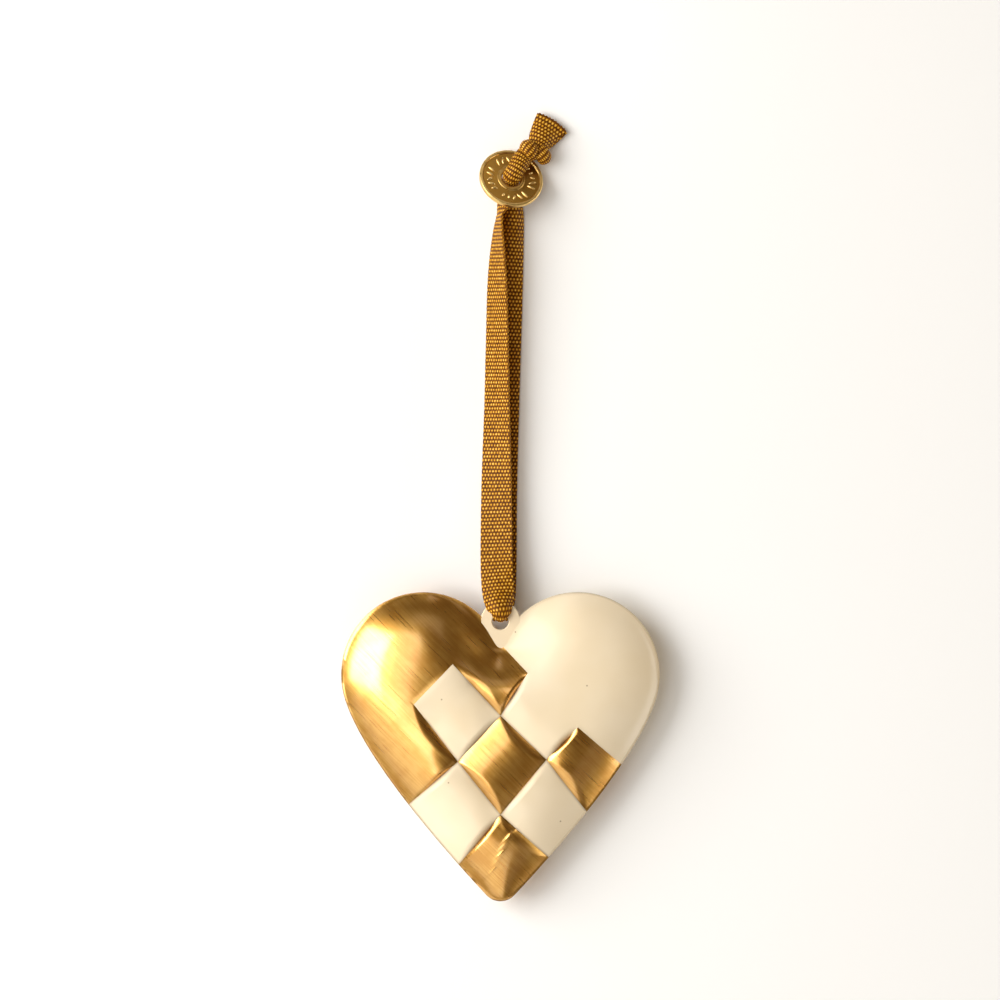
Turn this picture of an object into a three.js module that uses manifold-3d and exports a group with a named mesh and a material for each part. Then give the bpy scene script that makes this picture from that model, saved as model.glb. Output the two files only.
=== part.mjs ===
// A hollow pressed-metal heart with a woven surface, hung on a looped ribbon that carries a small brass disc.
// It lies on its back: +Z is up, +Y runs from the heart's tip to its notch, and units are millimetres.

import * as THREE from "three";
import { mergeVertices } from "three/addons/utils/BufferGeometryUtils.js";
import Module from "manifold-3d";

// Outline of the heart: two lobe arcs, two nearly straight flanks and a rounded tip.
// The gold lobe runs straight from its shoulder into the notch, where it meets the light lobe's arc.
const LOBE_RADIUS = 17.2;
const LOBE_X = 16.2;
const LOBE_Y = 15.3;
const NOTCH_Y = 21.5;
const GOLD_SHOULDER_Y = 24.4;
const FLANK_START_DEG = 13;
const FLANK_START_REACH = 14;
const FLANK_END_DEG = 43;
const FLANK_END_REACH = 6;
const TIP_RADIUS = 4;
const TIP_Y = -32.3;

// Flat round tab in the notch, with the hole for the ribbon
const TAB_RADIUS = 4.2;
const TAB_Y = 26.4;
const TAB_THICK = 1.0;
const TAB_HOLE_RADIUS = 1.7;
const WEB_WIDTH = 2;
const WEB_LENGTH = 3;

// Depths of the two pressed shells, measured from the plane of the seam between them
const SEAM_Z = 5.8;
const SEAM_THICK = 1.2;
const SEAM_WIDTH = 0.3;
const FRONT_DOME = 6.0;
const BACK_DOME = 5.4;
const DOME_REACH = 14;
const DOME_POWER = 2.2;
const FRONT_WEAVE = 1.25;
const BACK_WEAVE = 0.9;

// Place round which the shells run out flat into the tab, how far that reaches and how gently they rise
const NOTCH_CENTRE_X = 0.5;
const NOTCH_CENTRE_Y = 24.0;
const NOTCH_REACH = 18;
const NOTCH_EASE = 10;

// Crossings of the strip edges: a row for each edge of the light strips, a point for each of the gold strips
const NOTCH_HALF = LOBE_X - Math.sqrt(LOBE_RADIUS ** 2 - (NOTCH_Y - LOBE_Y) ** 2);
const INNER_CROSSINGS = [
  [[NOTCH_HALF, NOTCH_Y], [-10.0, 17.6], [-18.1, 9.2]],
  [[5.7, 15.7], [0.0, 6.8], [-8.9, -2.8]],
  [[16.2, 4.4], [9.6, -2.4], [0.0, -13.9]],
];
// Heights at which the strip edges run out on the two flanks
const LEFT_FLANK_Y = [0.6, -12.0, -24.6, TIP_Y];
const RIGHT_FLANK_Y = [-3.6, -13.5, -23.1, TIP_Y];
const STRIPS = 3;

// How far from its end a strip starts to sink before it goes under another, further on the arched middle gold
// strip, and how wide its long edges are rounded, at the ends of a crease and in its middle.
// Creases along the lobes are pressed to a share of the depth of the others.
const GOLD = { dive: 1.1, edge: [0.5, 2.5] };
const LIGHT = { dive: 6.2, edge: [1.2, 1.4] };
const MIDDLE_DIVE = 6.6;
const LOBE_CREASE = 0.12;

// Steps of the surface grid across each strip, closer at its edges, and from the weave out to a lobe's edge
const STRIP_STEPS = [0, 0.07, 0.18, 0.34, 0.5, 0.66, 0.82, 0.93];
const LOBE_STEPS = [0, 0.1, 0.22, 0.36, 0.5, 0.64, 0.77, 0.87, 0.95, 1];

// Brass disc, leaning on the strands with its far edge on the table
const DISC_RADIUS = 6.8;
const DISC_HOLE_RADIUS = 2.0;
const DISC_HALF = 0.45;
const DISC_RIM_WIDTH = 0.8;
const DISC_RIM_HEIGHT = 0.2;
const DISC_FIELD_DEPTH = 0.15;
const DISC_BOSS_RADIUS = 3.9;
const DISC_TILT_DEG = 31;
const DISC_LEAN_DEG = 65;
const DISC_X = 2.2;
const DISC_Y = 119.4;
const DISC_GAP = 0.05;
const DISC_SIDES = 40;

// Ribbon
const RIBBON_WIDTH = 6.8;
const RIBBON_THICK = 0.6;
const STRAND_STEPS = 42;
const STRAND_OFFSET = 0.45;
const KNOT_CENTRE = [7.3, 125.3, 3.3];
const KNOT_RADII = [3.1, 2.2, 2.1];
const KNOT_TURN_DEG = 58;

// Plain finishes of the three pieces
const HEART_FINISH = { color: 0xc08a2c, roughness: 0.35, metalness: 0.7 };
const DISC_FINISH = { color: 0x8a6a14, roughness: 0.35, metalness: 1 };
const RIBBON_FINISH = { color: 0xb87a12, roughness: 0.6, metalness: 0 };

const CURVE_STEPS = 28;
const WELD = 1e-4;
const TINY = 1e-6;
const HALVINGS = 40;
const radians = THREE.MathUtils.degToRad;

const wasm = await Module();
wasm.setup();

// Closed geometry to solid and back
function solidOf(geometry) {
  const bare = geometry.clone();
  bare.deleteAttribute("normal");
  bare.deleteAttribute("uv");
  const merged = mergeVertices(bare, WELD);
  const vertProperties = new Float32Array(merged.attributes.position.array);
  const triVerts = new Uint32Array(merged.index.array);
  return new wasm.Manifold(new wasm.Mesh({ numProp: 3, vertProperties, triVerts }));
}

function geometryOf(solid) {
  const mesh = solid.getMesh();
  const geometry = new THREE.BufferGeometry();
  geometry.setAttribute("position", new THREE.BufferAttribute(mesh.vertProperties, 3));
  geometry.setIndex(new THREE.BufferAttribute(mesh.triVerts, 1));
  geometry.computeVertexNormals();
  return geometry;
}

function meshOf(name, geometry, finish) {
  const mesh = new THREE.Mesh(geometry, new THREE.MeshStandardMaterial(finish));
  mesh.name = name;
  return mesh;
}

// One half of the outline, from the notch over the lobe and down the flank to the tip
function halfOutline(side) {
  const facing = (angle) => (side > 0 ? angle : Math.PI - angle);
  const start = radians(-FLANK_START_DEG);
  const end = radians(FLANK_END_DEG);
  const tipY = TIP_Y + TIP_RADIUS;
  const rise = (side > 0 ? NOTCH_Y : GOLD_SHOULDER_Y) - LOBE_Y;
  const lobeAngle = Math.PI - Math.asin(rise / LOBE_RADIUS);
  const x0 = LOBE_X + LOBE_RADIUS * Math.cos(start);
  const y0 = LOBE_Y + LOBE_RADIUS * Math.sin(start);
  const x3 = TIP_RADIUS * Math.cos(end);
  const y3 = tipY - TIP_RADIUS * Math.sin(end);
  const path = new THREE.Path().moveTo(NOTCH_HALF, NOTCH_Y);
  if (side < 0) {
    path.lineTo(-LOBE_X - LOBE_RADIUS * Math.cos(lobeAngle), GOLD_SHOULDER_Y);
  }
  path.absarc(side * LOBE_X, LOBE_Y, LOBE_RADIUS, facing(lobeAngle), facing(start), side > 0);
  path.bezierCurveTo(
    side * (x0 + FLANK_START_REACH * Math.sin(start)),
    y0 - FLANK_START_REACH * Math.cos(start),
    side * (x3 + FLANK_END_REACH * Math.sin(end)),
    y3 + FLANK_END_REACH * Math.cos(end),
    side * x3,
    y3,
  );
  path.absarc(0, tipY, TIP_RADIUS, facing(-end), facing(-Math.PI / 2), side > 0);
  return path;
}

const HALVES = { right: halfOutline(1), left: halfOutline(-1) };

// Share of the way along half the outline at which its flank comes down to a height
function flankShare(half, height) {
  let above = 0.5;
  let below = 1;
  for (let halving = 0; halving < HALVINGS; halving += 1) {
    const middle = (above + below) / 2;
    if (half.getPoint(middle).y > height) {
      above = middle;
    } else {
      below = middle;
    }
  }
  return (above + below) / 2;
}

function flankPoint(half, height) {
  return half.getPoint(flankShare(half, height)).toArray();
}

function bodyOutline() {
  const right = HALVES.right.getPoints(CURVE_STEPS);
  const left = HALVES.left.getPoints(CURVE_STEPS);
  return [...right, ...left.slice(1, -1).reverse()];
}

const BODY = bodyOutline();

function insideBody(x, y) {
  let inside = false;
  BODY.forEach((a, n) => {
    const b = BODY[(n + 1) % BODY.length];
    if (a.y > y !== b.y > y && x < a.x + ((y - a.y) * (b.x - a.x)) / (b.y - a.y)) {
      inside = !inside;
    }
  });
  return inside;
}

// Pull of one straight piece of the outline on a point: the integral of 1 / distance cubed along it
function edgePull(x, y, a, b) {
  const length = Math.hypot(b.x - a.x, b.y - a.y);
  const alongX = (b.x - a.x) / length;
  const alongY = (b.y - a.y) / length;
  const s0 = (a.x - x) * alongX + (a.y - y) * alongY;
  const s1 = s0 + length;
  const r0 = Math.hypot(a.x - x, a.y - y);
  const r1 = Math.hypot(b.x - x, b.y - y);
  if (s0 * s1 > 0) {
    return Math.abs((s1 ** 2 - s0 ** 2) / ((s1 * r0 + s0 * r1) * r0 * r1));
  }
  const height = (a.x - x) * alongY - (a.y - y) * alongX;
  return (s1 / r1 - s0 / r0) / Math.max(height ** 2, TINY);
}

// Smooth distance from a point inside the body to its outline, zero outside
function depthInside(x, y) {
  if (!insideBody(x, y)) {
    return 0;
  }
  const pull = BODY.reduce((sum, a, n) => sum + edgePull(x, y, a, BODY[(n + 1) % BODY.length]), 0);
  return Math.sqrt(2 / pull);
}

// Height of the puffed shell as a share of its full depth
function domeShare(x, y) {
  const inside = Math.max(depthInside(x, y) - SEAM_WIDTH, 0);
  if (inside === 0) {
    return 0;
  }
  const nearNotch = Math.max(0, 1 - Math.hypot(x - NOTCH_CENTRE_X, y - NOTCH_CENTRE_Y) / NOTCH_REACH);
  const gentle = inside ** 2 / (inside + NOTCH_EASE * nearNotch ** 2);
  const reach = Math.min(gentle / DOME_REACH, 1);
  return 1 - (1 - reach) ** DOME_POWER;
}

// All crossings, with those where the strip edges run out on the outline
const CROSSINGS = [
  ...INNER_CROSSINGS.map((row, i) => [...row, flankPoint(HALVES.left, LEFT_FLANK_Y[i])]),
  RIGHT_FLANK_Y.map((height) => flankPoint(HALVES.right, height)),
];

function between(a, b, share) {
  return [0, 1].map((axis) => a[axis] * (1 - share) + b[axis] * share);
}

// Point of the straight-sided lattice: u counts light strips from the gold lobe, v gold ones from the light
function latticePoint(u, v) {
  const i = Math.min(Math.floor(u), STRIPS - 1);
  const j = Math.min(Math.floor(v), STRIPS - 1);
  const near = between(CROSSINGS[i][j], CROSSINGS[i + 1][j], u - i);
  const far = between(CROSSINGS[i][j + 1], CROSSINGS[i + 1][j + 1], u - i);
  return between(near, far, v - j);
}

// Point of a flank beside a place in the lattice
function flankBeside(half, heights, place) {
  const n = Math.min(Math.floor(place), STRIPS - 1);
  return flankPoint(half, THREE.MathUtils.lerp(heights[n], heights[n + 1], place - n));
}

// Point of the weave: the lattice, bent in its outer strips to follow both flanks
function weavePoint(u, v) {
  const point = latticePoint(u, v);
  const last = STRIPS - 1;
  if (u > last) {
    const onRight = flankBeside(HALVES.right, RIGHT_FLANK_Y, v);
    const straight = latticePoint(STRIPS, v);
    point.forEach((_, axis) => (point[axis] += (u - last) * (onRight[axis] - straight[axis])));
  }
  if (v > last) {
    const onLeft = flankBeside(HALVES.left, LEFT_FLANK_Y, u);
    const straight = latticePoint(u, STRIPS);
    point.forEach((_, axis) => (point[axis] += (v - last) * (onLeft[axis] - straight[axis])));
  }
  return point;
}

// Strip that lies on top in a square of the lattice, where -1 stands for a lobe
function stripOnTop(i, j) {
  if (j < 0) {
    return LIGHT;
  }
  if (i < 0) {
    return GOLD;
  }
  return (i + j) % 2 === 0 ? GOLD : LIGHT;
}

// Creases of the weave: every lattice edge where one strip goes under the other, with the strip that ends
// there, how far from its end it sinks, and the share of the depth that it sinks to
function weaveCreases() {
  const creases = [];
  for (let i = 0; i < STRIPS; i += 1) {
    for (let j = 0; j < STRIPS; j += 1) {
      const a = CROSSINGS[i][j];
      if (stripOnTop(i - 1, j) !== stripOnTop(i, j)) {
        const dive = j === 1 ? MIDDLE_DIVE : GOLD.dive;
        creases.push({ a, b: CROSSINGS[i][j + 1], ends: GOLD, dive, depth: i > 0 ? 1 : LOBE_CREASE });
      }
      if (stripOnTop(i, j - 1) !== stripOnTop(i, j)) {
        const dive = LIGHT.dive;
        creases.push({ a, b: CROSSINGS[i + 1][j], ends: LIGHT, dive, depth: j > 0 ? 1 : LOBE_CREASE });
      }
    }
  }
  return creases;
}

const CREASES = weaveCreases();

// Share of the way along a crease that is nearest to a point, and the distance to it
function nearestOnCrease(x, y, { a, b }) {
  const alongX = b[0] - a[0];
  const alongY = b[1] - a[1];
  const share = ((x - a[0]) * alongX + (y - a[1]) * alongY) / (alongX ** 2 + alongY ** 2);
  const t = THREE.MathUtils.clamp(share, 0, 1);
  return { t, distance: Math.hypot(x - a[0] - t * alongX, y - a[1] - t * alongY) };
}

// Rise of the strip on top above the creases, from 0 in a crease to 1 on the strip's crown
function weaveShare(x, y, strip) {
  return CREASES.reduce((share, crease) => {
    const { t, distance } = nearestOnCrease(x, y, crease);
    const edge = THREE.MathUtils.lerp(...strip.edge, Math.sin(Math.PI * t));
    const width = crease.ends === strip ? crease.dive : edge;
    const reach = Math.min(distance / width, 1);
    return share * (1 - crease.depth * (1 - reach) ** 2);
  }, 1);
}

// A patch of the heart's plan: a grid of points, where points at one place become one vertex
function addPatch(plan, columns, rows, pointAt, stripAt) {
  const ids = columns.map((column, n) =>
    rows.map((row) => {
      const [x, y] = pointAt(column, row, n / (columns.length - 1));
      const key = `${x.toFixed(3)} ${y.toFixed(3)}`;
      if (!plan.seen.has(key)) {
        plan.seen.set(key, plan.points.length);
        plan.points.push({ x, y, strip: stripAt(column, row) });
      }
      return plan.seen.get(key);
    }),
  );
  for (let i = 0; i + 1 < columns.length; i += 1) {
    for (let j = 0; j + 1 < rows.length; j += 1) {
      addTriangle(plan, ids[i][j], ids[i + 1][j], ids[i + 1][j + 1]);
      addTriangle(plan, ids[i][j], ids[i + 1][j + 1], ids[i][j + 1]);
    }
  }
}

// A triangle of the plan, turned to face up, and left out where two of its corners are one
function addTriangle(plan, a, b, c) {
  if (a === b || b === c || c === a) {
    return;
  }
  const [p, q, r] = [plan.points[a], plan.points[b], plan.points[c]];
  const turn = (q.x - p.x) * (r.y - p.y) - (q.y - p.y) * (r.x - p.x);
  plan.triangles.push(turn > 0 ? [a, b, c] : [a, c, b]);
}

// Plan of the heart: the woven square and the two lobes, each ruled from the weave's edge to the outline
function heartPlan() {
  const plan = { points: [], triangles: [], seen: new Map() };
  const stops = [];
  for (let strip = 0; strip < STRIPS; strip += 1) {
    stops.push(...STRIP_STEPS.map((step) => strip + step));
  }
  stops.push(STRIPS);
  const square = (place) => Math.min(Math.floor(place), STRIPS - 1);
  const goldEnd = flankShare(HALVES.left, LEFT_FLANK_Y[0]);
  const lightEnd = flankShare(HALVES.right, RIGHT_FLANK_Y[0]);
  const goldRim = (along) => HALVES.left.getPoint(along * goldEnd).toArray();
  const lightRim = (along) => HALVES.right.getPoint(along * lightEnd).toArray();
  const goldLobe = (v, out, along) => between(weavePoint(0, v), goldRim(along), out);
  const lightLobe = (u, out, along) => between(weavePoint(u, 0), lightRim(along), out);
  addPatch(plan, stops, stops, weavePoint, (u, v) => stripOnTop(square(u), square(v)));
  addPatch(plan, stops, LOBE_STEPS, goldLobe, () => GOLD);
  addPatch(plan, stops, LOBE_STEPS, lightLobe, () => LIGHT);
  return plan;
}

// Edges of the plan that only one triangle has, in that triangle's direction
function borderEdges(triangles) {
  const edges = new Map();
  for (const [a, b, c] of triangles) {
    for (const [from, to] of [[a, b], [b, c], [c, a]]) {
      const back = `${to} ${from}`;
      if (!edges.delete(back)) {
        edges.set(`${from} ${to}`, [from, to]);
      }
    }
  }
  return [...edges.values()];
}

// Body: front and back shell raised from one plan, joined by the seam, and flattened where it lies down
function bodySolid() {
  const { points, triangles } = heartPlan();
  const count = points.length;
  const shares = points.map(({ x, y, strip }) => [domeShare(x, y), 1 - weaveShare(x, y, strip)]);
  const front = shares.map(([dome, sunk]) => SEAM_THICK / 2 + dome * (FRONT_DOME - sunk * FRONT_WEAVE));
  const back = shares.map(([dome, sunk]) => SEAM_THICK / 2 + dome * (BACK_DOME - sunk * BACK_WEAVE));
  const top = points.flatMap(({ x, y }, n) => [x, y, SEAM_Z + front[n]]);
  const bottom = points.flatMap(({ x, y }, n) => [x, y, Math.max(0, SEAM_Z - back[n])]);
  const faces = triangles.flatMap(([a, b, c]) => [a, b, c, a + count, c + count, b + count]);
  const walls = borderEdges(triangles).flatMap(([a, b]) => [a, a + count, b, b, a + count, b + count]);
  const geometry = new THREE.BufferGeometry();
  geometry.setAttribute("position", new THREE.Float32BufferAttribute([...top, ...bottom], 3));
  geometry.setIndex([...faces, ...walls]);
  return solidOf(geometry);
}

function uprightCylinder(radius, height, y) {
  const cylinder = new THREE.CylinderGeometry(radius, radius, height, CURVE_STEPS);
  cylinder.rotateX(Math.PI / 2);
  cylinder.translate(0, y, SEAM_Z);
  return solidOf(cylinder);
}

// Heart: the body, with the tab and its web in the notch, and the hole through the tab
function heart() {
  const web = new THREE.BoxGeometry(WEB_WIDTH, WEB_LENGTH, TAB_THICK);
  web.translate(0, NOTCH_Y + WEB_LENGTH / 4, SEAM_Z);
  const tab = uprightCylinder(TAB_RADIUS, TAB_THICK, TAB_Y).add(solidOf(web));
  const hole = uprightCylinder(TAB_HOLE_RADIUS, 2 * SEAM_Z, TAB_Y);
  const solid = bodySolid().add(tab).subtract(hole);
  return meshOf("heart", geometryOf(solid), HEART_FINISH);
}

// Axes of the leaning disc: across its lean, up its lean, and out of its face
const leanX = Math.cos(radians(DISC_LEAN_DEG));
const leanY = Math.sin(radians(DISC_LEAN_DEG));
const tiltSin = Math.sin(radians(DISC_TILT_DEG));
const tiltCos = Math.cos(radians(DISC_TILT_DEG));
const DISC_ACROSS = new THREE.Vector3(leanY, -leanX, 0);
const DISC_UPHILL = new THREE.Vector3(-leanX * tiltCos, -leanY * tiltCos, tiltSin);
const DISC_NORMAL = new THREE.Vector3(leanX * tiltSin, leanY * tiltSin, tiltCos);
const DISC_Z = DISC_RADIUS * tiltSin + DISC_HALF * tiltCos + DISC_GAP;
const DISC_CENTRE = new THREE.Vector3(DISC_X, DISC_Y, DISC_Z);

// Disc: a turned profile with a raised rim, a sunk field and a boss round the hole
function disc() {
  const fieldTop = DISC_HALF - DISC_FIELD_DEPTH;
  const rimTop = DISC_HALF + DISC_RIM_HEIGHT;
  const chamfer = DISC_RIM_HEIGHT;
  const profile = [
    [DISC_HOLE_RADIUS, -DISC_HALF],
    [DISC_RADIUS - chamfer, -DISC_HALF],
    [DISC_RADIUS, chamfer - DISC_HALF],
    [DISC_RADIUS, rimTop - chamfer],
    [DISC_RADIUS - chamfer, rimTop],
    [DISC_RADIUS - DISC_RIM_WIDTH + chamfer, rimTop],
    [DISC_RADIUS - DISC_RIM_WIDTH, fieldTop],
    [DISC_BOSS_RADIUS, fieldTop],
    [DISC_BOSS_RADIUS - chamfer, DISC_HALF],
    [DISC_HOLE_RADIUS, DISC_HALF],
    [DISC_HOLE_RADIUS, -DISC_HALF],
  ];
  const points = profile.map(([r, z]) => new THREE.Vector2(r, z));
  const geometry = new THREE.LatheGeometry(points, DISC_SIDES);
  geometry.rotateX(Math.PI / 2);
  const mesh = meshOf("disc", geometryOf(solidOf(geometry)), DISC_FINISH);
  const uphill = DISC_NORMAL.clone().cross(DISC_ACROSS);
  mesh.quaternion.setFromRotationMatrix(new THREE.Matrix4().makeBasis(DISC_ACROSS, uphill, DISC_NORMAL));
  mesh.position.copy(DISC_CENTRE);
  return mesh;
}

// A point of a strand on its way through the disc's hole
function throughDisc(uphill, out) {
  const point = DISC_CENTRE.clone();
  point.addScaledVector(DISC_UPHILL, uphill);
  point.addScaledVector(DISC_NORMAL, out);
  return point.toArray();
}

// Stations of the upper strand: point on its middle line, width, and twist in degrees with the right edge up
const FRONT_STRAND = [
  { at: [0, 26.95, SEAM_Z - 0.2], width: 2.2, twist: 0 },
  { at: [0, 27.4, SEAM_Z + 1.25], width: 2.8, twist: 0 },
  { at: [0, 28.6, SEAM_Z + 1.6], width: 4.2, twist: 0 },
  { at: [-0.3, 30.4, SEAM_Z + 1.2], width: 5.7, twist: 0 },
  { at: [-0.6, 33.5, SEAM_Z], width: 6.6, twist: 6 },
  { at: [-0.85, 40, 4.2], width: RIBBON_WIDTH, twist: 14 },
  { at: [-0.85, 54, 2.9], width: RIBBON_WIDTH, twist: 24 },
  { at: [-0.75, 70, 2.8], width: RIBBON_WIDTH, twist: 40 },
  { at: [-0.7, 84, 3], width: RIBBON_WIDTH, twist: 48 },
  { at: [-0.7, 96, 3.3], width: RIBBON_WIDTH, twist: 55 },
  { at: [-0.65, 103, 3.5], width: RIBBON_WIDTH, twist: 64 },
  { at: [-0.5, 108.5, 3.6], width: RIBBON_WIDTH, twist: 75 },
  { at: [-0.1, 112, 3.6], width: RIBBON_WIDTH, twist: 80 },
  { at: [0.9, 115.3, 3], width: 5, twist: 55 },
  { at: throughDisc(STRAND_OFFSET, -1.5), width: 3, twist: 0 },
  { at: throughDisc(STRAND_OFFSET, 0), width: 3, twist: 0 },
  { at: throughDisc(STRAND_OFFSET, 1.3), width: 3.1, twist: 0 },
  { at: [3.4, 121.6, 5.7], width: 3.3, twist: 0 },
  { at: [4.9, 124.1, 4.8], width: 3.5, twist: 0 },
  { at: [7.3, 125.8, 3.7], width: 2.8, twist: 0 },
  { at: [8.5, 128, 2.7], width: 4.8, twist: 0 },
  { at: [10.8, 131.6, 1.4], width: 7.2, twist: 0 },
];

// Stations of the lower strand, which lies on the table
const BACK_STRAND = [
  { at: [0, 26.95, SEAM_Z + 0.2], width: 2.2, twist: 0 },
  { at: [0, 27.4, SEAM_Z - 1.25], width: 2.8, twist: 0 },
  { at: [0, 28.6, SEAM_Z - 1.7], width: 4.2, twist: 0 },
  { at: [0, 30.4, SEAM_Z - 2.5], width: 5.7, twist: 0 },
  { at: [-0.1, 33.5, 2.2], width: 6.6, twist: 0 },
  { at: [0, 40, 0.8], width: RIBBON_WIDTH, twist: 0 },
  { at: [0.1, 54, 0.45], width: RIBBON_WIDTH, twist: 0 },
  { at: [0.5, 70, 0.5], width: RIBBON_WIDTH, twist: 0 },
  { at: [0.9, 84, 0.5], width: RIBBON_WIDTH, twist: 0 },
  { at: [1.3, 96, 0.65], width: 6.6, twist: 0 },
  { at: [1.6, 103, 0.9], width: 6.2, twist: 0 },
  { at: [1.95, 108.5, 1.15], width: 5.6, twist: 0 },
  { at: [2.2, 112, 1.3], width: 5, twist: 0 },
  { at: [2.2, 115.5, 1.5], width: 4, twist: 0 },
  { at: throughDisc(-STRAND_OFFSET, -1.5), width: 3, twist: 0 },
  { at: throughDisc(-STRAND_OFFSET, 0), width: 3, twist: 0 },
  { at: throughDisc(-STRAND_OFFSET, 1.3), width: 3.1, twist: 0 },
  { at: [3.6, 121.9, 5], width: 3.3, twist: 0 },
  { at: [5, 124, 4], width: 3.5, twist: 0 },
  { at: [7.4, 125.7, 3], width: 2.8, twist: 0 },
  { at: [8.8, 127.9, 1.9], width: 4.8, twist: 0 },
  { at: [11.1, 131.3, 0.7], width: 7.2, twist: 0 },
];

// Eight-sided flat section of the ribbon, as shares of its width and thickness
const SECTION = [
  [0.5, -0.25],
  [0.5, 0.25],
  [0.46, 0.5],
  [-0.46, 0.5],
  [-0.5, 0.25],
  [-0.5, -0.25],
  [-0.46, -0.5],
  [0.46, -0.5],
];

// Ring of section points across a strand at a place along it
function strandRing(route, shape, place) {
  const point = route.getPoint(place);
  const along = route.getTangent(place);
  const { x: width, y: twist } = shape.getPoint(place);
  const across = new THREE.Vector3(along.y, -along.x, 0).normalize();
  across.applyAxisAngle(along, radians(-twist));
  const up = across.clone().cross(along);
  return SECTION.map(([a, b]) => {
    const corner = point.clone();
    corner.addScaledVector(across, a * width);
    return corner.addScaledVector(up, b * RIBBON_THICK);
  });
}

// Strand of ribbon: the section carried along the route, closed at both ends
function strandSolid(stations) {
  const route = new THREE.CatmullRomCurve3(stations.map(({ at }) => new THREE.Vector3(...at)));
  const shapes = stations.map(({ width, twist }) => new THREE.Vector3(width, twist, 0));
  const shape = new THREE.CatmullRomCurve3(shapes);
  route.curveType = "catmullrom";
  shape.curveType = "catmullrom";
  const sides = SECTION.length;
  const points = [];
  const indices = [];
  for (let step = 0; step <= STRAND_STEPS; step += 1) {
    points.push(...strandRing(route, shape, step / STRAND_STEPS));
  }
  for (let step = 0; step < STRAND_STEPS; step += 1) {
    for (let side = 0; side < sides; side += 1) {
      const a = step * sides + side;
      const b = step * sides + ((side + 1) % sides);
      indices.push(a, a + sides, b, b, a + sides, b + sides);
    }
  }
  const last = STRAND_STEPS * sides;
  for (let side = 1; side + 1 < sides; side += 1) {
    indices.push(0, side, side + 1, last, last + side + 1, last + side);
  }
  const geometry = new THREE.BufferGeometry().setFromPoints(points);
  geometry.setIndex(indices);
  return solidOf(geometry);
}

// Knot: the turns drawn tight, as one rounded lump round both strands
function knotSolid() {
  const lump = new THREE.SphereGeometry(1, CURVE_STEPS / 2, CURVE_STEPS / 2);
  lump.scale(...KNOT_RADII);
  lump.rotateZ(radians(KNOT_TURN_DEG) - Math.PI / 2);
  lump.translate(...KNOT_CENTRE);
  return solidOf(lump);
}

// Ribbon: both strands, which meet in the tab's hole, and the knot that joins them past the disc
function ribbon() {
  const solid = strandSolid(FRONT_STRAND).add(strandSolid(BACK_STRAND)).add(knotSolid());
  return meshOf("ribbon", geometryOf(solid), RIBBON_FINISH);
}

const group = new THREE.Group();
group.add(heart(), disc(), ribbon());

export default group;
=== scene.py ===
# A hollow pressed-metal heart with a woven surface, hung on a looped ribbon that carries a small brass disc.
# It lies on its back on a pale floor: +Z is up and +Y runs up the ribbon.
# Sizes are millimetres until a mesh is made.

import bpy
import numpy as np
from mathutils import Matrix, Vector


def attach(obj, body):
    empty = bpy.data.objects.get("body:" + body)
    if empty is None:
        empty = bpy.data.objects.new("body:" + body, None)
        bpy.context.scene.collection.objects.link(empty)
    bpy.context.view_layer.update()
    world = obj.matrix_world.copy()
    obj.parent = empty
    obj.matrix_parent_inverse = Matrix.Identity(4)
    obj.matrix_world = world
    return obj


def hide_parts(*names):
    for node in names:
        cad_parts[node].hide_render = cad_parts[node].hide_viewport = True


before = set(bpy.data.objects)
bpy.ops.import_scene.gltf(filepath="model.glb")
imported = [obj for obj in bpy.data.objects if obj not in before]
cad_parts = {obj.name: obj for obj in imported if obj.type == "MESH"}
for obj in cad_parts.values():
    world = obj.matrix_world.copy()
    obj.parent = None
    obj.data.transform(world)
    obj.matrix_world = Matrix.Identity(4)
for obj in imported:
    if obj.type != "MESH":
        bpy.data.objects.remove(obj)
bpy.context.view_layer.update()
MM = 0.001

# Outline of the heart: two lobe arcs, two nearly straight flanks and a rounded tip
LOBE_RADIUS = 17.2
LOBE_X = 16.2
LOBE_Y = 15.3
NOTCH_Y = 21.5
GOLD_SHOULDER_Y = 24.4
FLANK_START_DEG = 13
FLANK_START_REACH = 14
FLANK_END_DEG = 43
FLANK_END_REACH = 6
TIP_RADIUS = 4
TIP_Y = -32.3

# Flat round tab in the notch, with the hole for the ribbon
TAB_RADIUS = 4.2
TAB_Y = 26.4
TAB_THICK = 1.0
TAB_HOLE_RADIUS = 1.7
TAB_REACH = 6.2
TAB_PROUD = 0.05
TAB_EASE = 0.2
TAB_SIDES = 96

# Depths of the two pressed shells, measured from the plane of the seam between them
SEAM_Z = 5.8
SEAM_THICK = 1.2
SEAM_WIDTH = 0.3
FRONT_DOME = 6.0
BACK_DOME = 5.4
DOME_REACH = 14
DOME_POWER = 2.2
FRONT_WEAVE = 1.25
BACK_WEAVE = 0.9

# Steps down the rim between the two shells: how far out, and how high as a share of the seam's thickness
RIM_PROFILE = [(0.06, 0.3), (0.05, 0.1), (-0.06, 0.0), (0.05, -0.1), (0.06, -0.3)]

# Place round which the shells run out flat into the tab, how far that reaches, and how gently they rise
NOTCH_CENTRE = (0.5, 24.0)
NOTCH_REACH = 18
NOTCH_EASE = 10

# Crossings of the strip edges: a row for each edge of the light strips, a point for each of the gold ones
NOTCH_HALF = LOBE_X - (LOBE_RADIUS**2 - (NOTCH_Y - LOBE_Y) ** 2) ** 0.5
INNER_CROSSINGS = [
    [(NOTCH_HALF, NOTCH_Y), (-10.0, 17.6), (-18.1, 9.2)],
    [(5.7, 15.7), (0.0, 6.8), (-8.9, -2.8)],
    [(16.2, 4.4), (9.6, -2.4), (0.0, -13.9)],
]
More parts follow.
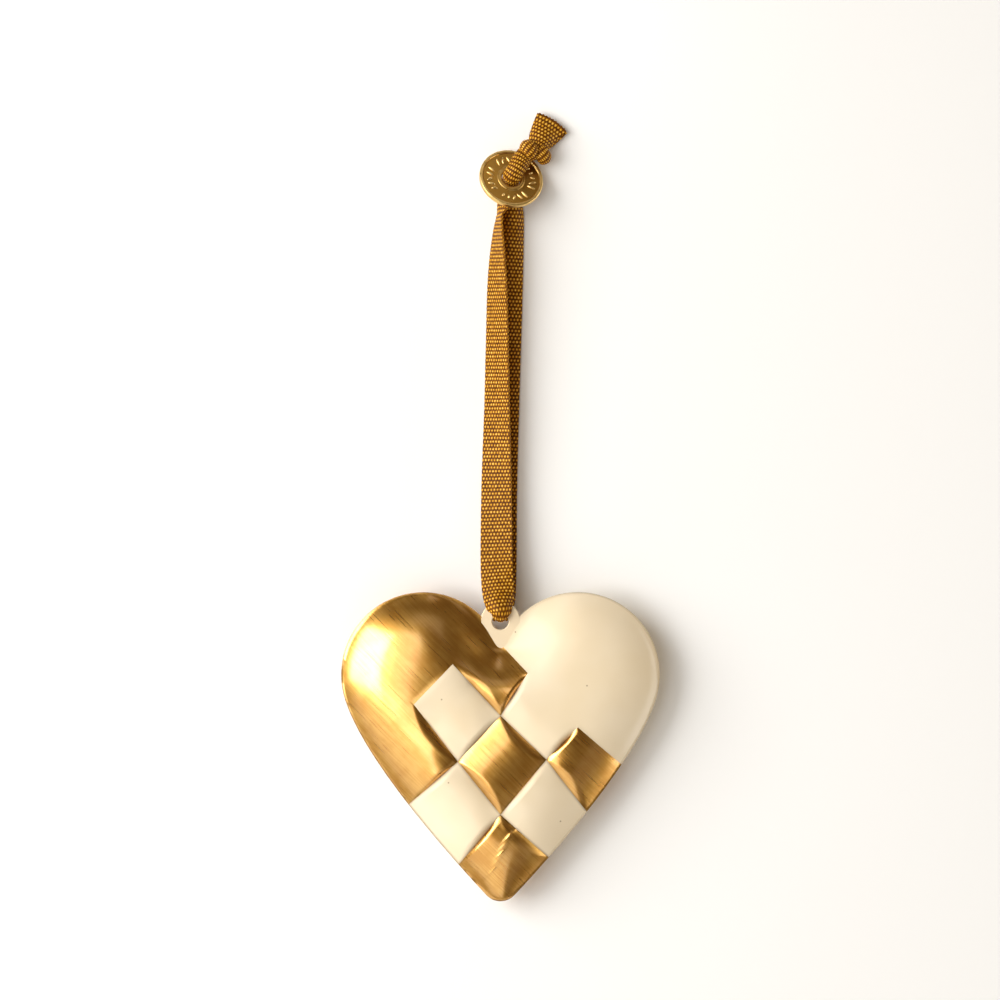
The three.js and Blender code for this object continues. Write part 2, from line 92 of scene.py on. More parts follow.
# Heights at which the strip edges run out on the two flanks
LEFT_FLANK_Y = [0.6, -12.0, -24.6, TIP_Y]
RIGHT_FLANK_Y = [-3.6, -13.5, -23.1, TIP_Y]
STRIPS = 3

# How far from its end a strip starts to sink before it goes under another, which is further on the arched
# middle gold strip, and how wide its long edges are rounded, at the ends of a crease and in its middle.
# Creases along the lobes are pressed to a share of the depth of the others.
# A crease that starts at a lobe deepens from nothing over a share of its length.
GOLD = 0
LIGHT = 1
DIVE = [1.1, 6.2]
MIDDLE_DIVE = 6.6
EDGE_ENDS = [0.5, 1.2]
EDGE_MIDDLE = [2.5, 1.4]
LOBE_CREASE = 0.12
CREASE_START = 0.4
GROOVE_WIDTH = 0.3

# Folds in the paint of the gold square at the tip, one after the other
FOLDS = 5
FOLD_FIRST = (-1.7, -25.6)
FOLD_LAST = (1.9, -18.2)
FOLD_TURN_DEG = 48
FOLD_LENGTH = 4.4
FOLD_WIDTH = 0.5
FOLD_HEIGHT = 0.2

# Fineness of the heart's mesh: closer at the edges of a strip and towards the outline, and finer in the last
# strips for the folds. Points that agree to so many digits are one, no distance counts as less than the
# nearest, and an edge with a sharper turn than the last angle is not smoothed.
CURVE_POINTS = 60
STRIP_STEPS = [44, 44, 76]
EDGE_CROWDING = 0.5
LOBE_STEPS = 36
LOBE_CROWDING = 0.8
WELD_DIGITS = 4
PLAN_SPLITS = 12
NEAREST = 1e-4
TINY = 1e-6
HEART_SHARP_DEG = 35

# Brass disc, leaning on the strands with its far edge on the table. How worn a part is runs from 0 to 1, and
# the angles of its rounded edges are measured from straight up.
DISC_RADIUS = 6.8
DISC_HOLE_RADIUS = 2.0
DISC_HALF = 0.45
DISC_RIM_WIDTH = 0.8
DISC_RIM_HEIGHT = 0.2
DISC_FIELD_DEPTH = 0.15
DISC_BOSS_RADIUS = 3.2
DISC_TILT_DEG = 31
DISC_LEAN_DEG = 65
DISC_X = 2.2
DISC_Y = 119.4
DISC_GAP = 0.05
DISC_EASE = 0.22
BOSS_WORN = 0.3
RIM_WORN = 0.75
DISC_SIDES = 120
DISC_SHARP_DEG = 40
ROUND_STEPS = 5
BOSS_EDGE_DEG = (10, 60)
RIM_SHOULDER_DEG = (-60, 0)

# Raised strokes in the disc's field, which stand for its stamped pattern: places round the disc, of which the
# last in a group stays empty, the shortest stroke as a share of the longest, and the most that one slants,
# in radians
STROKE_PLACES = 24
STROKE_GROUP = 6
STROKE_LENGTH = 1.9
STROKE_SHORTEST = 0.5
STROKE_WIDTH = 0.55
STROKE_HEIGHT = 0.3
STROKE_SLANT = 0.5
STROKE_SIDES = 16
STROKE_LEVELS_DEG = (60, 30, 0, -20)

# Ribbon: its cloth, the spacing of the thread dots that its weave shows, and its cut ends
RIBBON_WIDTH = 6.8
RIBBON_THICK = 0.42
DOT_SPACING = 0.72
ROW_SPACING = 0.78
DOT_HEIGHT = 0.11
STEPS_ACROSS = 46
STEPS_PER_ROW = 5
STRAND_OFFSET = 0.45
CUT_BULGE = 0.55
CUT_FRAY = 0.12
CUT_LENGTH = 1.6

# Samples along a strand's route, and the curls, in radians, among which one is found for a gathered width
ROUTE_SAMPLES = 6000
CURL_LEAST = 0.01
CURL_LIMIT = 2.6
CURL_SAMPLES = 200

# Knot: the ribbon's last turn round both strands, and the lump beside it where the end was pulled through.
# Each has its centre, turn about Z in degrees, reach to the side, height, width of its band, and slant.
KNOT_RING = ((6.1, 125.5, 3.4), 62, 1.5, 2.0, 3.1, 0.3)
LUMP_RING = ((8.8, 124.7, 2.6), 55, 1.4, 1.5, 2.9, 0.3)

# Patterns in the cloth, the paints and the brass, and the range that most of a noise pattern lies in
NOISE_LOW = 0.3
NOISE_HIGH = 0.7
THREAD_SHIFT = 0.12
BRUSH_TURN_DEG = -45
BRUSH_LENGTH = 8
BRUSH_WIDTH = 0.35
BRUSH_DEPTH = 0.02
BRUSH_STRENGTH = 0.4
GOLD_GLOSS = (0.27, 0.32)
CLOUD_SIZE = 4
TONE_SIZE = 11
SPECK_SPACING = 21
SPECK_RADIUS = 0.11
SPECK_SHARE = 0.6
PEEL_SIZE = 1.4
PEEL_DEPTH = 0.006
PEEL_STRENGTH = 0.5
PATINA_SIZE = 1.2
PATINA_SHIFT = 0.2
BRASS_GLOSS = (0.26, 0.4)
# Largest share of brown, standing for dirt and painted shade, mixed into a paint in a crease
DIRT_AND_SHADE_SHARE = 0.45

# Floor, and the faint warm light all round
FLOOR_HALF = 1500
WORLD_STRENGTH = 0.1

# Picture: straight down through a long lens, with the nearest distance that it shows in metres
PICTURE_WIDTH = 210
PICTURE_CENTRE = (-0.1, 51.9)
SENSOR_WIDTH = 36
LENS = 200
CLIP_START = 0.01


# Colours are written as sRGB hex values, and made linear by the sRGB formula
def linear(hex_code):
    channels = np.array([int(hex_code[n : n + 2], 16) for n in (1, 3, 5)]) / 255
    low = channels / 12.92
    high = ((channels + 0.055) / 1.055) ** 2.4
    return (*np.where(channels <= 0.04045, low, high), 1)


# Adds a node: its inputs take a value or another node's output, the stops of a colour ramp take a place and
# a colour, and its settings are the node's own properties
def add(tree, kind, inputs=None, stops=(), **settings):
    node = tree.nodes.new(kind)
    for name, value in settings.items():
        setattr(node, name, value)
    for name, value in (inputs or {}).items():
        if isinstance(value, bpy.types.NodeSocket):
            tree.links.new(value, node.inputs[name])
        else:
            node.inputs[name].default_value = value
    for n, (place, hex_code) in enumerate(stops):
        elements = node.color_ramp.elements
        stop = elements[n] if n < len(elements) else elements.new(place)
        stop.position = place
        stop.color = linear(hex_code)
    return node


def new_material(name):
    material = bpy.data.materials.new(name)
    material.use_nodes = True
    tree = material.node_tree
    shader = tree.nodes["Principled BSDF"]
    return material, tree, shader


def new_piece(name, points, faces, materials):
    mesh = bpy.data.meshes.new(name)
    mesh.from_pydata((np.asarray(points) * MM).tolist(), [], faces)
    for material in materials:
        mesh.materials.append(material)
    mesh.shade_smooth()
    piece = bpy.data.objects.new(name, mesh)
    bpy.context.scene.collection.objects.link(piece)
    return piece


def store(piece, name, values):
    attribute = piece.data.attributes.new(name, "FLOAT", "POINT")
    attribute.data.foreach_set("value", np.asarray(values, np.float32))


# Camera
def make_camera():
    data = bpy.data.cameras.new("camera")
    data.sensor_width = SENSOR_WIDTH
    data.lens = LENS
    data.clip_start = CLIP_START
    camera = bpy.data.objects.new("camera", data)
    distance = PICTURE_WIDTH * LENS / SENSOR_WIDTH
    camera.location = Vector((*PICTURE_CENTRE, SEAM_Z + distance)) * MM
    bpy.context.scene.collection.objects.link(camera)
    bpy.context.scene.camera = camera


make_camera()


# Ribbon's materials and pieces
def woven_ribbon_cloth():
    # Plain-woven bronze gold thread: light raised dots on a brown ground, uneven from thread to thread,
    # with a painted highlight in the palest colour on the dots' crowns
    material, tree, shader = new_material("woven_ribbon_cloth")
    thread = add(tree, "ShaderNodeAttribute", attribute_name="thread")
    place = add(tree, "ShaderNodeTexCoord")
    uneven = add(
        tree,
        "ShaderNodeTexNoise",
        {"Vector": place.outputs["Object"], "Scale": 1 / (DOT_SPACING * MM), "Detail": 1.0},
    )
    shift = add(
        tree,
        "ShaderNodeMapRange",
        {
            "Value": uneven.outputs["Fac"],
            "From Min": NOISE_LOW,
            "From Max": NOISE_HIGH,
            "To Min": -THREAD_SHIFT,
            "To Max": THREAD_SHIFT,
        },
    )
    shown = add(
        tree,
        "ShaderNodeMath",
        {0: thread.outputs["Fac"], 1: shift.outputs["Result"]},
        operation="ADD",
    )
    # Colour follows the weave's height; its palest stop, on the dots' crowns, is a painted highlight
    ramp = add(
        tree,
        "ShaderNodeValToRGB",
        {"Fac": shown.outputs["Value"]},
        stops=[(0.1, "#4C2803"), (0.5, "#90580A"), (0.8, "#DCA028"), (1.0, "#F2C866")],
    )
    tree.links.new(ramp.outputs["Color"], shader.inputs["Base Color"])
    shader.inputs["Roughness"].default_value = 0.5
    shader.inputs["Specular IOR Level"].default_value = 0.1
    return material


# Smooth curve through stations given as rows of numbers, with its ends carried straight on
def curve_through(stations, places):
    rows = np.asarray(stations, float)
    padded = np.vstack((2 * rows[0] - rows[1], rows, 2 * rows[-1] - rows[-2]))
    spans = len(rows) - 1
    scaled = places * spans
    n = np.minimum(scaled.astype(int), spans - 1)
    t = (scaled - n)[:, None]
    a, b, c, d = (padded[n + step] for step in range(4))
    cubic = (2 * a - 5 * b + 4 * c - d) * t**2 + (3 * b - a - 3 * c + d) * t**3
    return (2 * b + (c - a) * t + cubic) / 2


def unit(rows):
    return rows / np.linalg.norm(rows, axis=1, keepdims=True)


# Axes of the leaning disc: across its lean, up its lean, and out of its face
LEAN_X = np.cos(np.radians(DISC_LEAN_DEG))
LEAN_Y = np.sin(np.radians(DISC_LEAN_DEG))
TILT_SIN = np.sin(np.radians(DISC_TILT_DEG))
TILT_COS = np.cos(np.radians(DISC_TILT_DEG))
DISC_ACROSS = np.array((LEAN_Y, -LEAN_X, 0))
DISC_UPHILL = np.array((-LEAN_X * TILT_COS, -LEAN_Y * TILT_COS, TILT_SIN))
DISC_NORMAL = np.array((LEAN_X * TILT_SIN, LEAN_Y * TILT_SIN, TILT_COS))
DISC_Z = DISC_RADIUS * TILT_SIN + DISC_HALF * TILT_COS + DISC_GAP
DISC_CENTRE = np.array((DISC_X, DISC_Y, DISC_Z))


def through_disc(uphill, out):
    return tuple(DISC_CENTRE + uphill * DISC_UPHILL + out * DISC_NORMAL)


# Stations of the upper strand: point on its middle line, width, and twist in degrees with the right edge up
FRONT_STRAND = [
    (0, 26.95, SEAM_Z - 0.2, 2.6, 0),
    (0, 27.4, SEAM_Z + 1.25, 3.3, 0),
    (0, 28.6, SEAM_Z + 1.6, 4.4, 0),
    (-0.3, 30.4, SEAM_Z + 1.2, 5.7, 0),
    (-0.6, 33.5, SEAM_Z, 6.6, 6),
    (-0.85, 40, 4.2, RIBBON_WIDTH, 14),
    (-0.85, 54, 2.9, RIBBON_WIDTH, 24),
    (-0.75, 70, 2.8, RIBBON_WIDTH, 40),
    (-0.7, 84, 3, RIBBON_WIDTH, 48),
    (-0.7, 96, 3.3, RIBBON_WIDTH, 55),
    (-0.65, 103, 3.5, RIBBON_WIDTH, 64),
    (-0.5, 108.5, 3.6, RIBBON_WIDTH, 75),
    (-0.1, 112, 3.6, RIBBON_WIDTH, 80),
    (0.9, 115.3, 3, 5, 55),
    (*through_disc(STRAND_OFFSET, -1.5), 3, 0),
    (*through_disc(STRAND_OFFSET, 0), 3.4, 0),
    (*through_disc(STRAND_OFFSET, 1.3), 3.5, 0),
    (3.4, 121.6, 5.7, 3.3, 0),
    (4.9, 124.1, 4.8, 3.5, 0),
    (7.3, 125.8, 3.7, 2.8, 0),
    (8.5, 128, 2.7, 4.8, 0),
    (10.8, 131.6, 1.4, 7.2, 0),
]

# Stations of the lower strand, which lies on the table
BACK_STRAND = [
    (0, 26.95, SEAM_Z + 0.2, 2.6, 0),
    (0, 27.4, SEAM_Z - 1.25, 3.3, 0),
    (0, 28.6, SEAM_Z - 1.7, 4.2, 0),
    (0, 30.4, SEAM_Z - 2.5, 5.7, 0),
    (-0.1, 33.5, 2.2, 6.6, 0),
    (0, 40, 0.8, RIBBON_WIDTH, 0),
    (0.1, 54, 0.45, RIBBON_WIDTH, 0),
    (0.5, 70, 0.5, RIBBON_WIDTH, 0),
    (0.9, 84, 0.5, RIBBON_WIDTH, 0),
    (1.3, 96, 0.65, 6.6, 0),
    (1.6, 103, 0.9, 6.2, 0),
    (1.95, 108.5, 1.15, 5.6, 0),
    (2.2, 112, 1.3, 5, 0),
    (2.2, 115.5, 1.5, 4, 0),
    (*through_disc(-STRAND_OFFSET, -1.5), 3, 0),
    (*through_disc(-STRAND_OFFSET, 0), 3.4, 0),
    (*through_disc(-STRAND_OFFSET, 1.3), 3.5, 0),
    (3.6, 121.9, 5, 3.3, 0),
    (5, 124, 4, 3.5, 0),
    (7.4, 125.7, 3, 2.8, 0),
    (8.8, 127.9, 1.9, 4.8, 0),
    (11.1, 131.3, 0.7, 7.2, 0),
]


# Even rows along a strand: points, widths, twists, and how far along each row lies
def strand_rows(stations):
    fine = curve_through(stations, np.linspace(0, 1, ROUTE_SAMPLES))
    steps = np.linalg.norm(np.diff(fine[:, :3], axis=0), axis=1)
    far = np.concatenate(((0,), np.cumsum(steps)))
    count = int(far[-1] * STEPS_PER_ROW / ROW_SPACING)
    along = np.linspace(0, far[-1], count)
    rows = np.column_stack([np.interp(along, far, fine[:, n]) for n in range(5)])
    return rows[:, :3], rows[:, 3], rows[:, 4], along


# How much a ribbon of full width curls, as an angle, to be as narrow as a share of it
def curl_for(share):
    angles = np.linspace(CURL_LEAST, CURL_LIMIT, CURL_SAMPLES)
    shares = np.sin(angles / 2) / (angles / 2)
    return np.interp(share, shares[::-1], angles[::-1])


# Height of the weave from 0 between the dots to 1 on a dot, with each row of dots half a space off the last
def thread_height(across, along):
    row = np.round(along / ROW_SPACING)
    column = across / DOT_SPACING + row % 2 / 2
    dot = np.cos(np.pi * (column - np.round(column)))
    return dot * np.cos(np.pi * (along / ROW_SPACING - row))


# How far the threads of a cut end stick out past the last row: furthest in the middle, and frayed
def cut_end(along):
    place = np.linspace(-0.5, 0.5, STEPS_ACROSS + 1)[None, :]
    near_end = np.clip((along - along[-1] + CUT_LENGTH) / CUT_LENGTH, 0, 1)[:, None]
    fray = CUT_FRAY * np.cos(2 * np.pi * place * RIBBON_WIDTH / DOT_SPACING)
    return near_end * (CUT_BULGE * (1 - (2 * place) ** 2) + fray)


# Woven band: two faces of thread dots carried along a line, curled over where the band is gathered
def woven_band(name, points, across, up, widths, along, beyond, closed):
    shares = np.clip(widths / RIBBON_WIDTH, 0, 1)
    angles = curl_for(shares)[:, None]
    packing = (widths[:, None] * angles / 2) / (RIBBON_WIDTH * np.sin(angles / 2))
    place = np.linspace(-0.5, 0.5, STEPS_ACROSS + 1)[None, :]
    turn = angles * place
    radius = packing * RIBBON_WIDTH / angles
    out = radius * np.sin(turn)
    lift = radius * (np.cos(turn) - (1 + np.cos(angles / 2)) / 2)
    forward = np.cross(up, across)
    thread = thread_height(place * RIBBON_WIDTH, along[:, None])
    half = RIBBON_THICK / 2 - DOT_HEIGHT / 2
    vertices = []
    for face in (1, -1):
        height = thread if face > 0 else 1 - thread
        rise = face * (half + DOT_HEIGHT * height)
        side = out + rise * np.sin(turn)
        top = lift + rise * np.cos(turn)
        grid = points[:, None] + side[..., None] * across[:, None] + top[..., None] * up[:, None]
        grid = grid + beyond[..., None] * forward[:, None]
        vertices.append(grid if face > 0 else grid[:, ::-1])
    ring = np.concatenate(vertices, axis=1)
    heights = np.concatenate((thread, 1 - thread[:, ::-1]), axis=1)
    rows, sides = ring.shape[:2]
    faces = []
    for row in range(rows if closed else rows - 1):
        here = row * sides
        there = (row + 1) % rows * sides
        for n in range(sides):
            m = (n + 1) % sides
            faces.append((here + n, here + m, there + m, there + n))
    if not closed:
        last = (rows - 1) * sides
        for n in range(STEPS_ACROSS):
            m = sides - 1 - n
            faces.append((n + 1, n, m, m - 1))
            faces.append((last + n, last + n + 1, last + m - 1, last + m))
    piece = new_piece(name, ring.reshape(-1, 3), faces, [CLOTH])
    store(piece, "thread", heights.reshape(-1))
    return piece


def make_strand(name, stations):
    points, widths, twists, along = strand_rows(stations)
    forward = unit(np.gradient(points, axis=0))
    level = unit(np.column_stack((forward[:, 1], -forward[:, 0], np.zeros(len(points)))))
    upright = np.cross(level, forward)
    turn = np.radians(twists)[:, None]
    across = np.cos(turn) * level + np.sin(turn) * upright
    up = np.cross(across, forward)
    piece = woven_band(name, points, across, up, widths, along, cut_end(along), closed=False)
    return piece, points, along[-1]


# Ring of ribbon drawn tight: an upright oval of a given reach and height, turned about Z,
# with its band slanting across
def woven_ring(name, centre, turn_deg, reach, height, band, slant):
    turn = np.radians(turn_deg)
    axis = np.array((np.cos(turn), np.sin(turn), 0))
    aside = np.array((np.sin(turn), -np.cos(turn), 0))
    rows = 2 * round(np.pi * (reach + height) / ROW_SPACING / 2)
    count = rows * STEPS_PER_ROW
    angle = np.linspace(0, 2 * np.pi, count, endpoint=False)[:, None]
    points = np.array(centre) + reach * np.cos(angle) * aside - slant * np.cos(angle) * axis
    points = points + height * np.sin(angle) * np.array((0, 0, 1))
    forward = unit(np.roll(points, -1, axis=0) - np.roll(points, 1, axis=0))
    across = unit(axis - (forward @ axis)[:, None] * forward)
    up = np.cross(across, forward)
    along = np.arange(count) * ROW_SPACING / STEPS_PER_ROW
    widths = np.full(count, band)
    beyond = np.zeros((count, 1))
    return woven_band(name, points, across, up, widths, along, beyond, closed=True)


CLOTH = woven_ribbon_cloth()
front_strand, front_path, front_length = make_strand("ribbon_front_strand", FRONT_STRAND)
back_strand, back_path, back_length = make_strand("ribbon_back_strand", BACK_STRAND)
knot = woven_ring("ribbon_knot", *KNOT_RING)
lump = woven_ring("ribbon_knot_lump", *LUMP_RING)


# Heart's outline and lattice
def arc(centre, radius, start_deg, end_deg):
    angles = np.radians(np.linspace(start_deg, end_deg, CURVE_POINTS))
    return np.column_stack((centre[0] + radius * np.cos(angles), centre[1] + radius * np.sin(angles)))


def bezier(a, b, c, d):
    t = np.linspace(0, 1, CURVE_POINTS)[:, None]
    a, b, c, d = (np.array(point) for point in (a, b, c, d))
    return (1 - t) ** 3 * a + 3 * (1 - t) ** 2 * t * b + 3 * (1 - t) * t**2 * c + t**3 * d


# One half of the outline, from the notch over the lobe and down the flank to the tip
def half_outline(side):
    start = np.radians(FLANK_START_DEG)
    end = np.radians(FLANK_END_DEG)
    tip_y = TIP_Y + TIP_RADIUS
    rise = (NOTCH_Y if side > 0 else GOLD_SHOULDER_Y) - LOBE_Y
    lobe_deg = 180 - np.degrees(np.arcsin(rise / LOBE_RADIUS))
    lobe = arc((LOBE_X, LOBE_Y), LOBE_RADIUS, lobe_deg, -FLANK_START_DEG)
    tip = arc((0, tip_y), TIP_RADIUS, -FLANK_END_DEG, -90)
    leave = lobe[-1] - FLANK_START_REACH * np.array((np.sin(start), np.cos(start)))
    arrive = tip[0] + FLANK_END_REACH * np.array((np.sin(end), np.cos(end)))
    flank = bezier(lobe[-1], leave, arrive, tip[0])
    half = np.vstack((lobe, flank[1:], tip[1:])) * (side, 1)
    return half if side > 0 else np.vstack(((NOTCH_HALF, NOTCH_Y), half))


HALVES = {"right": half_outline(1), "left": half_outline(-1)}


def shares_along(half):
    steps = np.linalg.norm(np.diff(half, axis=0), axis=1)
    far = np.concatenate(((0,), np.cumsum(steps)))
    return far / far[-1]


def rim_point(half, share):
    far = shares_along(half)
    return np.column_stack((np.interp(share, far, half[:, 0]), np.interp(share, far, half[:, 1])))


# Share of the way along half the outline at which its flank, in the later half of it, comes down to a height
def flank_share(half, height):
    far = shares_along(half)
    flank = far > 0.5
    return np.interp(height, half[flank, 1][::-1], far[flank][::-1])


def flank_beside(half, heights, place):
    height = np.interp(place, np.arange(STRIPS + 1), heights)
    return rim_point(half, flank_share(half, height))


CROSSINGS = np.array(
    [
        *[
            [*row, rim_point(HALVES["left"], flank_share(HALVES["left"], LEFT_FLANK_Y[i]))[0]]
            for i, row in enumerate(INNER_CROSSINGS)
        ],
        flank_beside(HALVES["right"], RIGHT_FLANK_Y, np.arange(STRIPS + 1)),
    ]
)


# Points of the straight-sided lattice, where u counts light strips from the gold lobe
# and v counts gold strips from the light lobe
def lattice_point(u, v):
    i = np.minimum(u.astype(int), STRIPS - 1)
    j = np.minimum(v.astype(int), STRIPS - 1)
    s = (u - i)[:, None]
    t = (v - j)[:, None]
    near = CROSSINGS[i, j] * (1 - s) + CROSSINGS[i + 1, j] * s
    far = CROSSINGS[i, j + 1] * (1 - s) + CROSSINGS[i + 1, j + 1] * s
    return near * (1 - t) + far * t


# Points of the weave: the lattice, bent in its outer strips to follow both flanks
def weave_point(u, v):
    last = STRIPS - 1
    ends = np.full_like(u, STRIPS)
    right = flank_beside(HALVES["right"], RIGHT_FLANK_Y, v) - lattice_point(ends, v)
    left = flank_beside(HALVES["left"], LEFT_FLANK_Y, u) - lattice_point(u, ends)
    bend_right = np.maximum(u - last, 0)[:, None] * right
    bend_left = np.maximum(v - last, 0)[:, None] * left
    return lattice_point(u, v) + bend_right + bend_left


# Strip that lies on top in a square of the lattice, where -1 stands for a lobe
def strip_on_top(i, j):
    if j < 0:
        return LIGHT
    if i < 0:
        return GOLD
    return (i + j) % 2


# Creases of the weave: each lattice edge where a strip goes under the other, with the strip that ends there,
# how far from its end it sinks, and the share of full depth at the start of the crease and beyond
def weave_creases():
    creases = []
    for i in range(STRIPS):
        for j in range(STRIPS):
            if strip_on_top(i - 1, j) != strip_on_top(i, j):
                dive = MIDDLE_DIVE if j == 1 else DIVE[GOLD]
                depth = 1 if i > 0 else LOBE_CREASE
                start = depth if j > 0 else 0
                creases.append((CROSSINGS[i, j], CROSSINGS[i, j + 1], GOLD, dive, start, depth))
            if strip_on_top(i, j - 1) != strip_on_top(i, j):
                depth = 1 if j > 0 else LOBE_CREASE
                start = depth if i > 0 else 0
                creases.append((CROSSINGS[i, j], CROSSINGS[i + 1, j], LIGHT, DIVE[LIGHT], start, depth))
    return creases


CREASES = weave_creases()


# Smooth distance from points to the outline: the pull of every piece of it, as 1 / distance cubed, added up
def depth_inside(points):
    body = np.vstack((HALVES["right"], HALVES["left"][-2:0:-1]))
    ahead = np.roll(body, -1, axis=0)
    length = np.linalg.norm(ahead - body, axis=1)
    along = (ahead - body) / length[:, None]
    pulls = []
    for part in np.array_split(points, PLAN_SPLITS):
        to_a = body[None] - part[:, None]
        to_b = ahead[None] - part[:, None]
        s0 = (to_a * along[None]).sum(axis=2)
        s1 = s0 + length[None]
        r0 = np.maximum(np.linalg.norm(to_a, axis=2), NEAREST)
        r1 = np.maximum(np.linalg.norm(to_b, axis=2), NEAREST)
        height = to_a[..., 0] * along[None, :, 1] - to_a[..., 1] * along[None, :, 0]
        beside = (s1 / r1 - s0 / r0) / np.maximum(height**2, TINY)
        beyond = np.abs((s1**2 - s0**2) / np.where(s0 * s1 > 0, (s1 * r0 + s0 * r1) * r0 * r1, 1))
        pulls.append(np.where(s0 * s1 > 0, beyond, beside).sum(axis=1))
    return np.sqrt(2 / np.concatenate(pulls))


# How near points are to the notch, from 1 in it to 0 where it has no effect
def notch_share(points):
    return np.maximum(0, 1 - np.linalg.norm(points - NOTCH_CENTRE, axis=1) / NOTCH_REACH)


# Height of the puffed shell as a share of its full depth
def dome_share(points):
    inside = np.maximum(depth_inside(points) - SEAM_WIDTH, 0)
    ease = NOTCH_EASE * notch_share(points) ** 2
    gentle = inside**2 / np.maximum(inside + ease, TINY)
    reach = np.minimum(gentle / DOME_REACH, 1)
    return 1 - (1 - reach) ** DOME_POWER


# Share of the way along a crease that is nearest to each point, and the distance to it
def nearest_on(points, a, b):
    along = b - a
    share = np.clip(((points - a) @ along) / (along @ along), 0, 1)
    return share, np.linalg.norm(points - a - share[:, None] * along, axis=1)


# Rise of the strip on top above the creases, from 0 in a crease to 1 on the strip's crown
def weave_share(points, strips):
    share = np.ones(len(points))
    for a, b, ends, dive, start, depth in CREASES:
        t, distance = nearest_on(points, a, b)
        deep = np.interp(t, (0, CREASE_START), (start, depth))
        bow = np.sin(np.pi * t)
        edge = (1 - bow) * np.take(EDGE_ENDS, strips) + bow * np.take(EDGE_MIDDLE, strips)
        width = np.where(strips == ends, dive, edge)
        reach = np.minimum(distance / width, 1)
        share *= 1 - deep * (1 - reach) ** 2
    return share


# How much brown dirt and painted shade sits on each point: most in a crease, and along the seam except in the
# notch
def dirt_and_shade_share(points):
    darkening = np.exp(-((depth_inside(points) / GROOVE_WIDTH) ** 2)) * (1 - notch_share(points)) ** 2
    for a, b, *_, start, depth in CREASES:
        t, distance = nearest_on(points, a, b)
        deep = np.interp(t, (0, CREASE_START), (start, depth))
        darkening = np.maximum(darkening, deep * np.exp(-((distance / GROOVE_WIDTH) ** 2)))
    return darkening


# Height of the folds in the paint at the tip
def fold_height(points):
    turn = np.radians(FOLD_TURN_DEG)
    way = np.array((np.cos(turn), np.sin(turn)))
    aside = np.array((-way[1], way[0]))
    height = np.zeros(len(points))
    for share in np.linspace(0, 1, FOLDS):
        middle = (1 - share) * np.array(FOLD_FIRST) + share * np.array(FOLD_LAST)
        along = (points - middle) @ way / (FOLD_LENGTH / 2)
        beside = (points - middle) @ aside / (FOLD_WIDTH / 2)
        height += FOLD_HEIGHT * np.exp(-(along**2) - beside**2)
    return height


# Places across a strip, closer together at its edges
def strip_stops(n, steps):
    t = np.arange(steps) / steps
    return n + t - EDGE_CROWDING * np.sin(2 * np.pi * t) / (2 * np.pi)


# A patch of the heart's plan: its points in rows, and the strip on top in each of its squares
def patch(columns, rows, point_at, strip_at):
    column, row = (grid.ravel() for grid in np.meshgrid(columns, rows, indexing="ij"))
    points = point_at(column, row)
    count = len(rows)
    quads = []
    for i in range(len(columns) - 1):
        for j in range(count - 1):
            n = i * count + j
            strip = strip_at((columns[i] + columns[i + 1]) / 2, (rows[j] + rows[j + 1]) / 2)
            quads.append((n, n + count, n + count + 1, n + 1, strip))
    return points, quads


# Plan of the heart: the woven square and the two lobes, each ruled from the weave's edge to the outline
def heart_plan():
    stops = np.concatenate([*[strip_stops(n, steps) for n, steps in enumerate(STRIP_STEPS)], (STRIPS,)])
    outs = np.linspace(0, 1, LOBE_STEPS + 1) ** LOBE_CROWDING
    gold_end = flank_share(HALVES["left"], LEFT_FLANK_Y[0])
    light_end = flank_share(HALVES["right"], RIGHT_FLANK_Y[0])

    def gold_lobe(v, out):
        inner = weave_point(np.zeros_like(v), v)
        return inner + out[:, None] * (rim_point(HALVES["left"], v / STRIPS * gold_end) - inner)

    def light_lobe(u, out):
        inner = weave_point(u, np.zeros_like(u))
        return inner + out[:, None] * (rim_point(HALVES["right"], u / STRIPS * light_end) - inner)

    patches = [
        patch(stops, stops, weave_point, lambda u, v: strip_on_top(int(u), int(v))),
        patch(stops, outs, gold_lobe, lambda v, out: GOLD),
        patch(stops, outs, light_lobe, lambda u, out: LIGHT),
    ]
    points = np.vstack([found for found, _ in patches])
    rounded = np.round(points, WELD_DIGITS)
    _, first, place = np.unique(rounded, axis=0, return_index=True, return_inverse=True)
    place = place.ravel()
    points = points[first]
    strips = np.zeros(len(points), int)
    faces = []
    face_strips = []
    start = 0
    for found, quads in patches:
        for *corners, strip in quads:
            loop = list(dict.fromkeys(place[start + n] for n in corners))
            if len(loop) > 2:
                x, y = points[loop].T
                turn = (x * np.roll(y, -1) - y * np.roll(x, -1)).sum()
                faces.append(loop if turn > 0 else loop[::-1])
                face_strips.append(strip)
                strips[loop] = strip
        start += len(found)
    return points, strips, faces, face_strips


# Border of the plan: the next point after each, in the direction that keeps the heart on its left
def border_loop(faces):
    edges = set()
    for loop in faces:
        for a, b in zip(loop, loop[1:] + loop[:1]):
            if (b, a) in edges:
                edges.remove((b, a))
            else:
                edges.add((a, b))
    return dict(edges)


# Turned shape: a closed profile of radii and heights carried round an axis, where a radius is one number
# or one for each side
def lathe(profile, sides, centre, axes):
    angles = np.linspace(0, 2 * np.pi, sides, endpoint=False)[:, None]
    out = np.cos(angles) * axes[0] + np.sin(angles) * axes[1]
    rings = [centre + np.reshape(r * np.ones(sides), (-1, 1)) * out + z * axes[2] for r, z in profile]
    points = np.stack(rings, axis=1).reshape(-1, 3)
    count = len(profile)
    faces = []
    for side in range(sides):
        here = side * count
        there = (side + 1) % sides * count
        for n in range(count):
            m = (n + 1) % count
            faces.append((here + n, here + m, there + m, there + n))
    return points, faces


